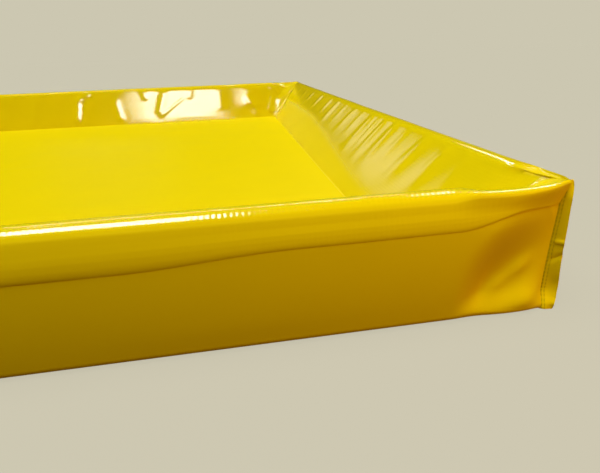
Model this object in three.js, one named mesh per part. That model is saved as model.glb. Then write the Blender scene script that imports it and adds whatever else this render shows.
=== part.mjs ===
// Foam-wall spill containment tray: a flexible, liquid-tight basin of coated fabric.
// Four foam strips stand along the edges of a base sheet. Each has an outer skirt, and a cover
// that laps over the skirt, runs over the foam and slopes down to the floor inside.
// Millimetres, +Z up. The origin is on the ground, under the middle of the tray.
import * as THREE from "three";

// Driving dimensions
const LENGTH = 1220; // along X, outside the walls
const WIDTH = 1220; // along Y, outside the walls
const HEIGHT = 102; // from the ground to the top of a wall
const SHEET = 0.9; // thickness of the coated fabric
const GAP = 0.3; // between plies that touch
const ROUND_CLEARANCE = 0.6; // between the foam's round top and the cover
const FOAM_THICKNESS = 19; // a foam strip
const FOAM_END_FRONT = 97; // from a corner to the foam's end, in the front and back walls
const FOAM_END_SIDE = 80; // the same in the left and right walls
const CREASE_FRONT = 54; // from the skirt's outside to the floor crease, front and back
const CREASE_SIDE = 90; // the same on the left and right
const WALL_LEAN = 3.5; // how far the top of the outer face leans in
const FOOT_TUCK = 2.5; // how far the foot of the outer face stands in
const BEND_RADIUS = 12; // of the skirt where it turns under the wall
const BEND_RADIUS_CORNER = 4; // the same near a corner, where no foam fills it
const SKIRT_FLANGE = 34; // the skirt's welded margin on the base sheet
const COVER_FLANGE = 30; // the cover's welded margin on the base sheet
const SKIRT_DROP = 4; // from the shoulder of the round top down to the skirt's upper edge
const LAP_DEPTH = 31; // from the top of the wall down to the cover's outer edge
const BASE_INSET = 13; // from the skirt's outside to the base sheet's edge
const BASE_CORNER_RADIUS = 16;
const LINER_SETBACK = 3; // from the floor crease to the floor liner's edge
const LINER_CORNER_RADIUS = 10;
const SLOPE_FLARE = 1.25; // exponent: 1 is a straight inner slope, more flares at the floor

// The corner: the walls draw in there to an upright seam on the diagonal
const SEAM_INSET_FOOT = 14.5; // of the seam from both skirts' outsides, at the ground
const SEAM_INSET_TOP = 14; // the same at the top
const SEAM_REACH_FRONT = 22; // length over which the front and back walls draw in to the seam
const SEAM_REACH_SIDE = 10; // the same for the left and right walls
const SEAM_REACH_FOOT = 4; // the same at the ground, where the fabric is spread
const DRAWN_LENGTH = 44; // from a corner to where nothing holds the wall back from drawing in
const SEAM_SPREAD = 35; // height up to which that shorter length has an effect
const TIP_INSET = 9.8; // of the folded top edge's corner, which overhangs the seam
const LAP_RISE = 9; // how far the cover's outer edge is pulled up at the corner
const FIN_WIDTH_FOOT = 12.8; // the seam's free flange, outside the stitching, at the ground
const FIN_WIDTH_TOP = 6.4; // the same at the top
const FIN_ROOT = 3.5; // how far the flange reaches in between the walls
const FIN_THICKNESS = 2.2;
const FIN_TOP_DROP = 7; // from the top of the wall down to the top of the flange
const FIN_WAVE = 0.6; // sideways waviness of the flange's outer edge
const FIN_WAVES = 1.4; // how many waves it has over its height
const FIN_ROUNDING = 0.25; // share of its width that the flange loses at its round ends
const FIN_SHARPNESS = 14; // how short those round ends are
const CAVE_DEPTH = 11; // of the fold where the skirt has no foam behind it
const CAVE_REACH = 38; // from the bottom of that fold to its shoulders
const CAVE_FOOT = 16; // height of the fold's lower end
const CAVE_HEAD = 83; // height of the fold's upper end
const CAVE_NEAR = 34; // distance of the fold's upper end from the corner
const CAVE_START = 40; // length over which the fold begins beyond the foam's end
const CAVE_CLEAR = 24; // height over which it begins above the ground
const EDGE_RADIUS = 3.5; // of the folded outer edge that the top has beyond the foam
const EDGE_SHARE = 1 / 3; // share of the facets across the top that this edge takes
const EDGE_START = 6; // how far before the foam's end the top begins to square off
const EDGE_REACH = 24; // length over which it does
const EDGE_DIP = 3; // sag of the unsupported top edge
const INNER_START = 78; // distance from the corner where the top's inner edge begins to rise
const INNER_REACH = 38; // length over which it rises
const TROUGH_DEPTH = 13; // of the hollow in the top next to the corner
const TROUGH_START = 66; // distance from the corner where the hollow begins
const TROUGH_REACH = 26; // length over which it deepens
const TROUGH_END = 9; // distance from the corner where it ends
const TROUGH_TAPER = 16; // length over which it gets shallow there
const TROUGH_SKEW = 0.7; // exponent: less than 1 makes the hollow deepest near the outer edge
const ROUND_OVERRUN = 3; // how far the foam's round shape runs on past its end
const OPENING_REACH = 20; // length over which the top then falls in behind its edge
const FALL_POWER = 1.3; // exponent: more than 1 keeps the fallen top rounded at its edge
const JOIN_SIDE = 9; // where the inner top edges meet, from the side skirt's outside
const JOIN_FRONT = 31; // and from the front skirt's outside
const BUTT_GAP = 1.8; // between the edges of two covers that meet at a corner
const GUSSET_TOP = 0.12; // the patch's upper end, as a share of the slope
const GUSSET_REACH = 34; // of the corner patch along each wall

const YELLOW = 0xe6cb05;
const FOAM_WHITE = 0xe9e6dc;

// Sizes that follow from these
const PLY = SHEET + GAP;
const MARGIN_HEIGHT = SHEET + GAP + SHEET / 2; // middle of a margin that lies on the base sheet
const LINER_HEIGHT = SHEET + PLY + GAP; // underside of the floor liner
const LAP_OFFSET = SHEET + 2 * GAP; // cover outside the skirt, middle to middle
const FOAM_OUTER = WALL_LEAN + SHEET / 2 + GAP; // the foam's outer face, at the shoulder
const FOAM_INNER = FOAM_OUTER + FOAM_THICKNESS;
const RIDGE_INNER = FOAM_INNER + ROUND_CLEARANCE + SHEET / 2;
const RIDGE_OUTER = WALL_LEAN - LAP_OFFSET;
const RIDGE_RADIUS = (RIDGE_INNER - RIDGE_OUTER) / 2;
const RIDGE_MIDDLE = RIDGE_OUTER + RIDGE_RADIUS;
const RIDGE_TOP = HEIGHT - SHEET / 2;
const SHOULDER = RIDGE_TOP - RIDGE_RADIUS;
const LAP_EDGE = HEIGHT - LAP_DEPTH;
const SKIRT_TOP = SHOULDER - SKIRT_DROP;
const BEND_TOP = MARGIN_HEIGHT + BEND_RADIUS; // where the foam is
const FIN_TOP = HEIGHT - FIN_TOP_DROP;

// The skirts' outsides, in from the overall size by the plies of the covers' laps
const SKIRT_X = LENGTH / 2 - LAP_OFFSET - SHEET / 2;
const SKIRT_Y = WIDTH / 2 - LAP_OFFSET - SHEET / 2;

// Facets
const STATIONS = [0, 0.06, 0.14, 0.25, 0.38, 0.52, 0.67, 0.83, 1]; // from a corner to the foam's end
const FACET_ROOM = 0.15; // room for flat facets that follow a curve
const FACE_ROWS = 5;
const BEND_STEPS = 3;
const RIDGE_STEPS = 6;
const SLOPE_ROWS = 6;
const FIN_ROWS = 10;
const FIN_COLUMNS = 3;
const GUSSET_COLUMNS = 3; // on each side of the corner
const ARC_STEPS = 5; // in each round of an extruded outline

// Clear space on each side of a seam flange's middle, measured along the walls
const SEAM_CLEARANCE = Math.SQRT2 * (FIN_THICKNESS / 2 + GAP + FACET_ROOM);

const front = {
  turn: 0,
  half: SKIRT_X,
  reach: SKIRT_Y,
  foamEnd: FOAM_END_FRONT,
  crease: CREASE_FRONT,
  drawReach: SEAM_REACH_FRONT,
};
const side = {
  turn: 1,
  half: SKIRT_Y,
  reach: SKIRT_X,
  foamEnd: FOAM_END_SIDE,
  crease: CREASE_SIDE,
  drawReach: SEAM_REACH_SIDE,
};
const walls = {
  front,
  right: side,
  back: { ...front, turn: 2 },
  left: { ...side, turn: 3 },
};

const lerp = THREE.MathUtils.lerp;
const smooth = (x) => THREE.MathUtils.smoothstep(x, 0, 1);
const range = (count) => Array.from({ length: count }, (_, i) => i);

// A point of a wall, u along it, v inwards from its skirt's outside, turned to the wall's side.
function place(wall, u, v, z) {
  const p = new THREE.Vector3(u, v - wall.reach, z);
  return p.applyAxisAngle(new THREE.Vector3(0, 0, 1), (wall.turn * Math.PI) / 2);
}

const seamInset = (z) => lerp(SEAM_INSET_FOOT, SEAM_INSET_TOP, z / HEIGHT);

// The outer face away from the corners: tucked in at the foot, widest at the lap, leaning in above.
function straightFace(z) {
  if (z < LAP_EDGE) return FOOT_TUCK * (1 - smooth(z / LAP_EDGE));
  return WALL_LEAN * smooth((z - LAP_EDGE) / (SHOULDER - LAP_EDGE));
}

// The fold that falls in beyond the foam's end: a valley that climbs towards the corner.
function cave(wall, c, z) {
  const run = wall.foamEnd - CAVE_NEAR;
  const rise = CAVE_HEAD - CAVE_FOOT;
  const size = Math.hypot(run, rise);
  const along = ((wall.foamEnd - c) * run + (z - CAVE_FOOT) * rise) / (size * size);
  const across = ((wall.foamEnd - c) * rise - (z - CAVE_FOOT) * run) / size;
  const valley = 1 - smooth(Math.abs(across) / CAVE_REACH);
  const ends = Math.sqrt(Math.sin(Math.PI * THREE.MathUtils.clamp(along, 0, 1)));
  return CAVE_DEPTH * valley * ends * smooth((wall.foamEnd - c) / CAVE_START) * smooth(z / CAVE_CLEAR);
}

// 0 where the foam stands, 1 from where the wall draws in to the seam.
const free = (wall, c) => smooth((wall.foamEnd - c) / (wall.foamEnd - DRAWN_LENGTH));

// How far in the skirt stands at distance c from the corner and height z.
function face(wall, c, z) {
  const inset = seamInset(z);
  const reach = lerp(SEAM_REACH_FOOT, wall.drawReach, smooth(z / SEAM_SPREAD));
  const draw = Math.exp(-Math.max(c - inset, 0) / reach) * free(wall, c);
  return lerp(straightFace(z), inset, draw) + cave(wall, c, z) * (1 - draw);
}

const lapRise = (wall, c) => LAP_RISE * free(wall, c);

// The skirt's section at distance c from the corner: margin on the base sheet, bend, outer face.
function skirtSection(wall, c) {
  const radius = lerp(BEND_RADIUS, BEND_RADIUS_CORNER, free(wall, c));
  const bendTop = MARGIN_HEIGHT + radius;
  const foot = face(wall, c, bendTop);
  const rows = [{ z: MARGIN_HEIGHT, v: foot + radius + SKIRT_FLANGE }];
  for (const i of range(BEND_STEPS)) {
    const angle = ((i / BEND_STEPS) * Math.PI) / 2;
    rows.push({ z: MARGIN_HEIGHT + radius * (1 - Math.cos(angle)), v: foot + radius * (1 - Math.sin(angle)) });
  }
  const edge = LAP_EDGE + lapRise(wall, c);
  const heights = range(FACE_ROWS).map((i) => lerp(bendTop, edge, i / (FACE_ROWS - 1)));
  for (const z of [...heights, (edge + SKIRT_TOP) / 2, SKIRT_TOP]) rows.push({ z, v: face(wall, c, z) });
  return rows;
}

// Distances from the corner, from each row's own end to where the wall is straight.
function stationsTo(wall, end) {
  const far = Math.max(wall.foamEnd, end + DRAWN_LENGTH / 2);
  return STATIONS.map((t) => lerp(end, far, t));
}

// A grid of points, one line for each station from one end of the wall to the other.
function wallGrid(wall, count, pointAt) {
  const lines = STATIONS.map((_, i) => range(count).map((j) => pointAt(i, j)));
  const line = (points, sign) => points.map((p) => place(wall, sign * (wall.half - p.c), p.v, p.z));
  const firstHalf = lines.map((points) => line(points, -1));
  const secondHalf = lines.map((points) => line(points, 1)).reverse();
  return [...firstHalf, ...secondHalf];
}

function skirt(wall) {
  const atSeam = skirtSection(wall, SEAM_INSET_FOOT);
  const grid = wallGrid(wall, atSeam.length, (i, j) => {
    const c = stationsTo(wall, atSeam[j].v + SEAM_CLEARANCE)[i];
    return { c, ...skirtSection(wall, c)[j] };
  });
  return shell(grid, SHEET);
}

// Where two covers meet at a corner, as distances from the front and the side skirt's outsides.
function coverEnd(row) {
  if (row.kind === "lap") {
    const inset = seamInset(row.z) - LAP_OFFSET;
    return { front: inset, side: inset, z: row.z, onSeam: true };
  }
  const join = { front: JOIN_FRONT, side: JOIN_SIDE, z: RIDGE_TOP };
  const crease = { front: CREASE_FRONT, side: CREASE_SIDE, z: MARGIN_HEIGHT };
  if (row.kind === "ridge") {
    const edge = topEdge(row.t);
    const inset = TIP_INSET + edge.v;
    const tip = { front: inset, side: inset, z: RIDGE_TOP - edge.drop };
    return { ...between(tip, join, edge.beyond), onSeam: row.t < EDGE_SHARE };
  }
  if (row.kind === "slope") {
    const flat = between(join, crease, row.t ** SLOPE_FLARE);
    return { ...flat, z: lerp(join.z, crease.z, row.t) };
  }
  return { front: CREASE_FRONT + COVER_FLANGE, side: CREASE_SIDE + COVER_FLANGE, z: MARGIN_HEIGHT };
}

function between(a, b, t) {
  return { front: lerp(a.front, b.front, t), side: lerp(a.side, b.side, t), z: lerp(a.z, b.z, t) };
}

// Row t of the folded top edge: how far in and down it is, and how far row t lies beyond it.
function topEdge(t) {
  const turn = (Math.PI / 2) * Math.min(t / EDGE_SHARE, 1);
  return {
    v: EDGE_RADIUS * (1 - Math.cos(turn)),
    drop: EDGE_RADIUS * (1 - Math.sin(turn)),
    beyond: Math.max(t - EDGE_SHARE, 0) / (1 - EDGE_SHARE),
  };
}

// The cover's rows, from its outer edge over the top to its margin on the base sheet.
function coverRows() {
  const rows = [LAP_EDGE, (LAP_EDGE + SKIRT_TOP) / 2, SKIRT_TOP].map((z) => ({ kind: "lap", z }));
  for (const i of range(RIDGE_STEPS + 1)) rows.push({ kind: "ridge", t: i / RIDGE_STEPS });
  for (const i of range(SLOPE_ROWS)) rows.push({ kind: "slope", t: (i + 1) / SLOPE_ROWS });
  rows.push({ kind: "margin" });
  return rows;
}

// The cover at distance c from the corner, before it turns into the corner.
function coverSection(wall, row, c) {
  if (row.kind === "lap") {
    const share = (SKIRT_TOP - row.z) / (SKIRT_TOP - LAP_EDGE);
    const z = row.z + share * lapRise(wall, c);
    return { v: face(wall, c, z) - LAP_OFFSET, z };
  }
  const innerTop = lerp(SHOULDER, RIDGE_TOP, smooth((INNER_START - c) / INNER_REACH));
  if (row.kind === "ridge") return topSection(wall, row.t, c, innerTop);
  if (row.kind === "slope") {
    return {
      v: lerp(RIDGE_INNER, wall.crease, row.t ** SLOPE_FLARE),
      z: lerp(innerTop, MARGIN_HEIGHT, row.t),
    };
  }
  return { v: wall.crease + COVER_FLANGE, z: MARGIN_HEIGHT };
}

// The top: round over the foam; beyond it a folded outer edge, with a hollow behind it.
function topSection(wall, t, c, innerTop) {
  const lifted = smooth((wall.foamEnd + EDGE_START - c) / EDGE_REACH);
  const opened = smooth((wall.foamEnd - ROUND_OVERRUN - c) / OPENING_REACH);
  const angle = Math.PI * (1 - t);
  const edge = topEdge(t);
  const share = lerp(lifted, opened, edge.beyond);
  const roundV = RIDGE_MIDDLE + RIDGE_RADIUS * Math.cos(angle);
  const roundZ = SHOULDER + RIDGE_RADIUS * Math.sin(angle);
  const foldedV = lerp(RIDGE_OUTER + edge.v, RIDGE_INNER, edge.beyond);
  const fallen = opened * (RIDGE_TOP - innerTop) * edge.beyond ** FALL_POWER;
  const foldedZ = RIDGE_TOP - edge.drop - fallen;
  const drawn = face(wall, c, SHOULDER) - WALL_LEAN;
  const dip = EDGE_DIP * (1 - t) * Math.sin(Math.PI * Math.min(c / wall.foamEnd, 1));
  const spread = smooth((TROUGH_START - c) / TROUGH_REACH) * smooth((c - TROUGH_END) / TROUGH_TAPER);
  const hollow = TROUGH_DEPTH * spread * Math.sin(Math.PI * edge.beyond ** TROUGH_SKEW);
  return {
    v: lerp(roundV, foldedV, share) + drawn * (1 - t),
    z: lerp(roundZ, foldedZ, share) - opened * (dip + hollow),
  };
}

// A row's end at the corner, seen from its own wall.
function ownEnd(wall, row) {
  const end = coverEnd(row);
  const isSide = wall.turn % 2 === 1;
  // High up, the front cover's end lies against the flank of the side cover's folded edge.
  const share = { lap: 0, ridge: 1, slope: 1 - row.t, margin: 0 }[row.kind];
  const atFlank = isSide ? 0 : 2 * SHEET * share;
  const clearance = end.onSeam ? SEAM_CLEARANCE : BUTT_GAP / Math.SQRT2 + atFlank;
  return { c: (isSide ? end.front : end.side) + clearance, v: isSide ? end.side : end.front, z: end.z };
}

// The cover at distance c from the corner, drawn into the corner.
function coverPoint(wall, row, c) {
  const section = coverSection(wall, row, c);
  if (row.kind === "lap") return { c, ...section };
  const end = ownEnd(wall, row);
  const atEnd = coverSection(wall, row, end.c);
  const run = Math.max(wall.foamEnd - ROUND_OVERRUN - end.c, DRAWN_LENGTH / 4);
  const turned = 1 - smooth((c - end.c) / run);
  return { c, v: section.v + (end.v - atEnd.v) * turned, z: section.z + (end.z - atEnd.z) * turned };
}

function cover(wall) {
  const rows = coverRows();
  const grid = wallGrid(wall, rows.length, (i, j) => {
    const c = stationsTo(wall, ownEnd(wall, rows[j]).c)[i];
    return coverPoint(wall, rows[j], c);
  });
  return shell(grid, SHEET);
}

// A foam strip: upright, with a round top and a round outer foot.
function foam(wall) {
  const outer = (z) => straightFace(z) + SHEET / 2 + GAP + FACET_ROOM;
  const radius = FOAM_INNER - RIDGE_MIDDLE;
  const outerAngle = Math.acos((FOAM_OUTER + FACET_ROOM - RIDGE_MIDDLE) / radius);
  const footRadius = BEND_RADIUS - SHEET / 2 - GAP - 2 * FACET_ROOM;
  const outline = new THREE.Shape();
  outline.moveTo(FOAM_INNER, MARGIN_HEIGHT + SHEET / 2 + GAP);
  outline.lineTo(FOAM_INNER, SHOULDER);
  outline.absarc(RIDGE_MIDDLE, SHOULDER, radius, 0, outerAngle, false);
  const heights = range(3).map((i) => lerp(SHOULDER, LAP_EDGE, i / 2));
  heights.push(...range(FACE_ROWS - 2).map((i) => lerp(LAP_EDGE, BEND_TOP, (i + 1) / (FACE_ROWS - 1))));
  for (const z of heights) outline.lineTo(outer(z), z);
  outline.absarc(outer(BEND_TOP) + footRadius, BEND_TOP, footRadius, Math.PI, 1.5 * Math.PI, false);
  const length = 2 * (wall.half - wall.foamEnd);
  const solid = new THREE.ExtrudeGeometry(outline, { depth: length, bevelEnabled: false, curveSegments: ARC_STEPS });
  // The outline's X is v and its Y is up; the extrusion runs along the wall.
  const basis = new THREE.Matrix4().makeBasis(
    new THREE.Vector3(0, 1, 0),
    new THREE.Vector3(0, 0, 1),
    new THREE.Vector3(1, 0, 0),
  );
  solid.applyMatrix4(basis);
  solid.translate(-length / 2, -wall.reach, 0);
  return solid.rotateZ((wall.turn * Math.PI) / 2);
}

// A flat sheet with round corners, its underside at the given height.
function flatSheet(halfX, halfY, radius, underside) {
  const outline = new THREE.Shape();
  outline.absarc(halfX - radius, halfY - radius, radius, 0, Math.PI / 2, false);
  outline.absarc(radius - halfX, halfY - radius, radius, Math.PI / 2, Math.PI, false);
  outline.absarc(radius - halfX, radius - halfY, radius, Math.PI, 1.5 * Math.PI, false);
  outline.absarc(halfX - radius, radius - halfY, radius, 1.5 * Math.PI, 2 * Math.PI, false);
  const solid = new THREE.ExtrudeGeometry(outline, { depth: SHEET, bevelEnabled: false, curveSegments: ARC_STEPS });
  return solid.translate(0, 0, underside);
}

// The upright flange on a corner's diagonal. signX and signY choose the corner.
function seamFlange(signX, signY) {
  const foot = GAP;
  const lines = range(FIN_ROWS + 1).map((i) => {
    const t = i / FIN_ROWS;
    const z = lerp(foot, FIN_TOP, t);
    const rounding = 1 - FIN_ROUNDING * Math.abs(2 * t - 1) ** FIN_SHARPNESS;
    const width = lerp(FIN_WIDTH_FOOT, FIN_WIDTH_TOP, t) * rounding;
    const wave = FIN_WAVE * Math.sin(2 * Math.PI * FIN_WAVES * t);
    return range(FIN_COLUMNS + 1).map((k) => {
      const out = lerp(-FIN_ROOT, width, k / FIN_COLUMNS);
      const inset = seamInset(z) - out / Math.SQRT2;
      const bow = (Math.max(out, 0) / width) * wave;
      return new THREE.Vector3(signX * (SKIRT_X - inset + bow), signY * (SKIRT_Y - inset - bow), z);
    });
  });
  return shell(lines, FIN_THICKNESS);
}

// The patch over the inner corner, where two covers meet: it follows both covers' slopes.
function gusset(signX, signY) {
  const rows = coverRows().filter((row) => row.kind === "slope" && row.t < 1);
  const first = { kind: "slope", t: GUSSET_TOP };
  const steps = range(GUSSET_COLUMNS + 1).map((i) => i / GUSSET_COLUMNS);
  const along = (wall, row) => {
    const start = ownEnd(wall, row).c;
    return steps.map((t) => coverPoint(wall, row, start + GUSSET_REACH * t));
  };
  const lines = [first, ...rows].map((row) => {
    const onFront = along(walls.front, row);
    const onSide = along(walls.right, row);
    const a = onFront.map((p) => new THREE.Vector3(SKIRT_X - p.c, SKIRT_Y - p.v, p.z));
    const b = onSide.map((p) => new THREE.Vector3(SKIRT_X - p.v, SKIRT_Y - p.c, p.z));
    const middle = a[0].clone().lerp(b[0], 0.5);
    return [...a.slice(1).reverse(), middle, ...b.slice(1)];
  });
  const lifted = offset(lines, PLY + 2 * GAP);
  return shell(lifted.map((line) => line.map((p) => new THREE.Vector3(signX * p.x, signY * p.y, p.z))), SHEET);
}

// Unit normals of a grid of points.
function gridNormals(grid) {
  const clampIndex = (i, n) => Math.min(Math.max(i, 0), n - 1);
  return grid.map((line, i) =>
    line.map((_, j) => {
      const before = grid[clampIndex(i - 1, grid.length)][j];
      const after = grid[clampIndex(i + 1, grid.length)][j];
      const below = line[clampIndex(j - 1, line.length)];
      const above = line[clampIndex(j + 1, line.length)];
      const along = after.clone().sub(before);
      return along.cross(above.clone().sub(below)).normalize();
    }),
  );
}

// The grid moved along its normals, towards the inside of the tray and up.
function offset(grid, distance) {
  const normals = gridNormals(grid);
  const middle = normals[Math.floor(grid.length / 2)][Math.floor(grid[0].length / 2)];
  const sign = Math.sign(middle.z) || 1;
  return grid.map((line, i) => line.map((p, j) => p.clone().addScaledVector(normals[i][j], sign * distance)));
}

// A closed sheet of the given thickness, with the grid as its middle surface.
function shell(grid, thickness) {
  const normals = gridNormals(grid);
  const layer = (way) =>
    grid.map((line, i) => line.map((p, j) => p.clone().addScaledVector(normals[i][j], (way * thickness) / 2)));
  const top = layer(1);
  const bottom = layer(-1);
  const last = grid.length - 1;
  const end = grid[0].length - 1;
  const triangles = [];
  const quad = (a, b, c, d) => triangles.push(a, b, c, a, c, d);
  for (const i of range(last))
    for (const j of range(end)) {
      quad(top[i][j], top[i + 1][j], top[i + 1][j + 1], top[i][j + 1]);
      quad(bottom[i][j], bottom[i][j + 1], bottom[i + 1][j + 1], bottom[i + 1][j]);
    }
  for (const i of range(last)) {
    quad(bottom[i][0], bottom[i + 1][0], top[i + 1][0], top[i][0]);
    quad(top[i][end], top[i + 1][end], bottom[i + 1][end], bottom[i][end]);
  }
  for (const j of range(end)) {
    quad(top[0][j], top[0][j + 1], bottom[0][j + 1], bottom[0][j]);
    quad(bottom[last][j], bottom[last][j + 1], top[last][j + 1], top[last][j]);
  }
  return closedSurface(triangles);
}

// A geometry from triangles, turned to face outwards.
function closedSurface(points) {
  const volume = range(points.length / 3).reduce((sum, i) => {
    const [a, b, c] = points.slice(3 * i, 3 * i + 3);
    return sum + a.dot(b.clone().cross(c));
  }, 0);
  const ordered = volume > 0 ? points : points.slice().reverse();
  const geometry = new THREE.BufferGeometry().setFromPoints(ordered);
  geometry.computeVertexNormals();
  return geometry;
}

const coated = () => new THREE.MeshStandardMaterial({ color: YELLOW, roughness: 0.22, metalness: 0 });
const foamed = () => new THREE.MeshStandardMaterial({ color: FOAM_WHITE, roughness: 0.95, metalness: 0 });

const tray = new THREE.Group();
function add(name, geometry, material) {
  const mesh = new THREE.Mesh(geometry, material);
  mesh.name = name;
  tray.add(mesh);
}

const baseX = SKIRT_X - BASE_INSET;
const baseY = SKIRT_Y - BASE_INSET;
add("base_sheet", flatSheet(baseX, baseY, BASE_CORNER_RADIUS, 0), coated());
const linerX = SKIRT_X - CREASE_SIDE - LINER_SETBACK;
const linerY = SKIRT_Y - CREASE_FRONT - LINER_SETBACK;
add("floor_liner", flatSheet(linerX, linerY, LINER_CORNER_RADIUS, LINER_HEIGHT), coated());
for (const [name, wall] of Object.entries(walls)) {
  add(`skirt_${name}`, skirt(wall), coated());
  add(`cover_${name}`, cover(wall), coated());
  add(`foam_${name}`, foam(wall), foamed());
}
const corners = { front_right: [1, -1], back_right: [1, 1], back_left: [-1, 1], front_left: [-1, -1] };
for (const [name, [signX, signY]] of Object.entries(corners)) {
  add(`seam_flange_${name}`, seamFlange(signX, signY), coated());
  add(`corner_gusset_${name}`, gusset(signX, signY), coated());
}

export default tray;
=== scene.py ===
"""Looks of the foam-wall spill containment tray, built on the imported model.

Lengths in the code are in millimetres, and MM turns them into metres.
"""

import math

import bpy
import numpy as np
from bpy.props import FloatProperty, FloatVectorProperty, PointerProperty
from mathutils import Matrix, Vector


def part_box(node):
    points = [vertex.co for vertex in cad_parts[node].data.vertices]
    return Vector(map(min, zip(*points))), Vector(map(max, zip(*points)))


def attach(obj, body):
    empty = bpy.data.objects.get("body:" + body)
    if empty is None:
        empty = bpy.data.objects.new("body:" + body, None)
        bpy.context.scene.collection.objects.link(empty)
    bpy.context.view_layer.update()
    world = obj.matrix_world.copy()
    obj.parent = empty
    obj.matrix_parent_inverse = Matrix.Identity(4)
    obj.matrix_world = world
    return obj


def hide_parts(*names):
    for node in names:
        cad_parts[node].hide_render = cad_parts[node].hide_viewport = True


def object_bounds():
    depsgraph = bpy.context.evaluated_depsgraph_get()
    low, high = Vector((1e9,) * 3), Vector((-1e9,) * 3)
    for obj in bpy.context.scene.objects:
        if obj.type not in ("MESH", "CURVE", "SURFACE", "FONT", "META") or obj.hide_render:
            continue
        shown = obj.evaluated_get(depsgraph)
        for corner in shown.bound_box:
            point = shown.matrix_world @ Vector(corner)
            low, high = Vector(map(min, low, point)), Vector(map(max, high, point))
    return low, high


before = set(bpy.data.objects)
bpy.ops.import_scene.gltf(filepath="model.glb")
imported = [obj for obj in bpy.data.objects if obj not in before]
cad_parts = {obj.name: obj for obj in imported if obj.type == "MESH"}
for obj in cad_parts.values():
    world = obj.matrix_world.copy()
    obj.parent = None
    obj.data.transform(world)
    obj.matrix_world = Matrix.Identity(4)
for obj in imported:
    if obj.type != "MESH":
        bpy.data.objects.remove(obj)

bl_info = {
    "name": "Spill containment tray",
    "version": (1, 0, 0),
    "blender": (4, 5, 0),
    "location": "View3D > Sidebar > Spill Tray",
    "description": "Coated-fabric spill tray with foam walls and drawn-in corners",
    "category": "Object",
}

MM = 0.001
CAD_BOX = [[float(x) for x in corner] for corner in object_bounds()]

# The tray's size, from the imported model
LENGTH = (CAD_BOX[1][0] - CAD_BOX[0][0]) / MM
WIDTH = (CAD_BOX[1][1] - CAD_BOX[0][1]) / MM
HEIGHT = (CAD_BOX[1][2] - CAD_BOX[0][2]) / MM

# Each wall: the foam's end from the corner, the floor crease from the skirt
FOAM_END_FRONT = 97
FOAM_END_SIDE = 80
CREASE_FRONT = 54
CREASE_SIDE = 90
SLOPE_FLARE_SIDE = 1.03

# Room between plies, round the foam and for flat facets that follow a curve
GAP = 0.3
LAP_GAP = 0.12
SEAM_CLEARANCE = 0.12
BUTT_GAP = 0.4
BUTT_PLY_SHARE = 0.9
ROUND_CLEARANCE = 0.6
FACET_ROOM = 0.15

# The skirt's outer face, its bend at the foot and the welded margins
WALL_LEAN = 3.5
FOOT_TUCK = 3.8
FACE_BULGE = 0.6
BEND_RADIUS = 6
BEND_RADIUS_CORNER = 4
SKIRT_FLANGE = 34
COVER_FLANGE = 30
SKIRT_DROP = 4

# The cover's lap over the skirt, and the step in its lower edge at the front
LAP_DEPTH = 31
LAP_RISE = 9
LAP_PRESS = 0.4
LAP_EDGE_SHARE = 0.2
LAP_STEP = 5.5
LAP_STEP_START = 290
LAP_STEP_RUN = 110

# The seam at a corner, how the walls draw in to it and how its foot leans
SEAM_INSET_FOOT = 14.5
SEAM_INSET_TOP = 14
SEAM_REACH = 22
SEAM_REACH_FOOT = 4
SEAM_REACH_SIDE = 10
SEAM_SPREAD = 35
FOOT_SHIFT = (-1.5, 6.5)
FOOT_REACH = 8
FOOT_HEIGHT = 16

# The fold that falls in beyond the foam's end
CAVE_DEPTH = 12
CAVE_REACH_ABOVE = 44
CAVE_REACH_BELOW = 30
CAVE_FOOT = 2
CAVE_HEAD = 64
CAVE_NEAR = 12
CAVE_START = 34
CAVE_CLEAR = 22

# The ridge: round over the foam, and beyond it an outer edge, a trough and an inner edge
RIDGE_LEAN = 0.35
ROUND_OVERRUN = 3
OPENING_REACH = 20
SIDE_STRETCH = 1.7
EDGE_RADIUS = 3.5
EDGE_SHARE = 1 / 3
EDGE_START = 6
EDGE_REACH = 24
EDGE_DIP = 3
INNER_START = 78
INNER_REACH = 38
INNER_DROP = 8
FALL_POWER = 1.3
TROUGH_DEPTH = 9
TROUGH_DEPTH_SIDE = 3
TROUGH_START = 66
TROUGH_REACH = 26
TROUGH_END = 9
TROUGH_TAPER = 16
TROUGH_SKEW = 0.7

# The corner's tip, and the place below it where the covers' inner edges meet
TIP_INSET = 10
TIP_RADIUS = 1.6
JOIN_SIDE = 9
JOIN_FRONT = 31
JOIN_DROP = 4.5
JOIN_RUN = 45

# The seam flange and its stitches
FIN_WIDTH_FOOT = 12.8
FIN_WIDTH_TOP = 6.8
FIN_ROOT = 3.5
FIN_THICKNESS = 2.2
FIN_TOP_DROP = 7
FIN_TIP_DROP = 0.6
FIN_TIP_BOW = 2.4
FIN_BOW_SHARE = 0.7
FIN_ROUNDING = 0.25
FIN_SHARPNESS = 14
STITCH_LINES = (0.6, 2.6)
STITCH_WIDTH = 0.45
STITCH_PITCH = 3.2
STITCH_DEPTH = 0.3

# The two flat sheets
BASE_CORNER_RADIUS = 16
LINER_CORNER_RADIUS = 10
LINER_EDGE = (515, 551)
LINER_CALM = 60

# Seeds of the random waves. A wall's own turn is added, or the length of a corner's name.
LINER_SEED = 5
SLOPE_SEED = 11
GATHER_SEED = 40
RIDGE_SEED = 70
SKIRT_SEED = 90
FLANGE_SEED = 200

# The patch over an inner corner: its ends as shares of the slope, its reach and its lift
PATCH_TOP = 0.12
PATCH_END = 0.833
PATCH_REACH = 34
PATCH_LIFT = 0.2


def lerp(a, b, t):
    return a + (b - a) * t


def smooth(x):
    x = np.clip(x, 0, 1)
    return x * x * (3 - 2 * x)


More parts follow.
